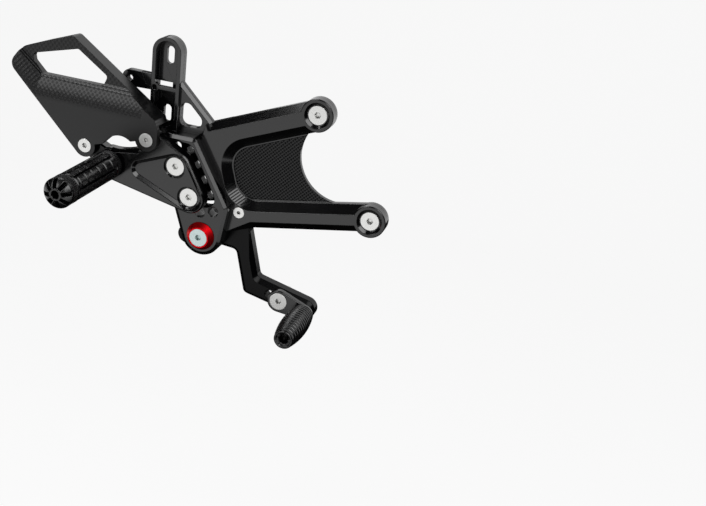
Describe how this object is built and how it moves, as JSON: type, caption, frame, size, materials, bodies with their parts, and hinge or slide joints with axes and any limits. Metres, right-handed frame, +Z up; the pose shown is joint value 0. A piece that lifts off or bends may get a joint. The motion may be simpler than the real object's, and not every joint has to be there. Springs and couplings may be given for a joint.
{
  "type": "motorcycle rear set footrest",
  "caption": "Motorcycle rear set: machined bracket that holds a fluted foot peg, a heel guard and a pivoting brake lever with a sliding toe peg.",
  "frame": {"origin": "axis of the lower frame bolt, in the plane of the bracket's inner face", "axes": "+X towards the front of the motorcycle, +Y inwards to its frame, +Z up; the foot peg points along -Y"},
  "size_m": [0.3317, 0.1484, 0.2351],
  "materials": {
    "black_anodised": "satin black anodised",
    "stainless": "satin",
    "zinc": "blue zinc plated",
    "red_anodised": "red anodised",
    "bearing_steel": "ground"
  },
  "bodies": {
    "bracket": {"base_plate": "black_anodised", "peg_holder": "black_anodised", "heel_guard": "black_anodised", "foot_peg": "black_anodised", "frame_bolt_upper": "stainless", "frame_bolt_lower": "stainless", "holder_bolt_upper": "stainless", "holder_bolt_lower": "stainless", "foot_peg_bolt": "stainless", "guard_screw_rear": "stainless", "guard_screw_front": "stainless", "stop_screw": "stainless", "pivot_nut": "stainless", "pivot_washer": "stainless", "pivot_shim": "stainless", "pivot_sleeve": "stainless", "bearing_spacer": "stainless", "lever_stop": "stainless", "pivot_bolt": "zinc", "pivot_collar": "red_anodised", "bearing_a_inner_race": "bearing_steel", "bearing_b_inner_race": "bearing_steel", "bearing_a_balls": "bearing_steel", "bearing_b_balls": "bearing_steel"},
    "lever": {"brake_lever": "black_anodised", "bearing_a_outer_race": "bearing_steel", "bearing_b_outer_race": "bearing_steel"},
    "toe": {"toe_peg_carrier": "black_anodised", "carrier_screw": "stainless", "carrier_nut": "stainless", "toe_peg": "black_anodised", "toe_peg_screw": "stainless"}
  },
  "joints": [
    {"name": "brake_lever_pivot", "type": "hinge", "parent": "bracket", "child": "lever", "pos_m": [-0.144, 0, -0.0415], "axis": [0, 1, 0], "range_deg": [0, 14], "stiffness_Nm_per_rad": 1.5, "springref_deg": -14.32},
    {"name": "toe_peg_slide", "type": "slide", "parent": "lever", "child": "toe", "axis": [0.9724, 0, -0.2334], "range_m": [-0.01, 0.008]}
  ]
}
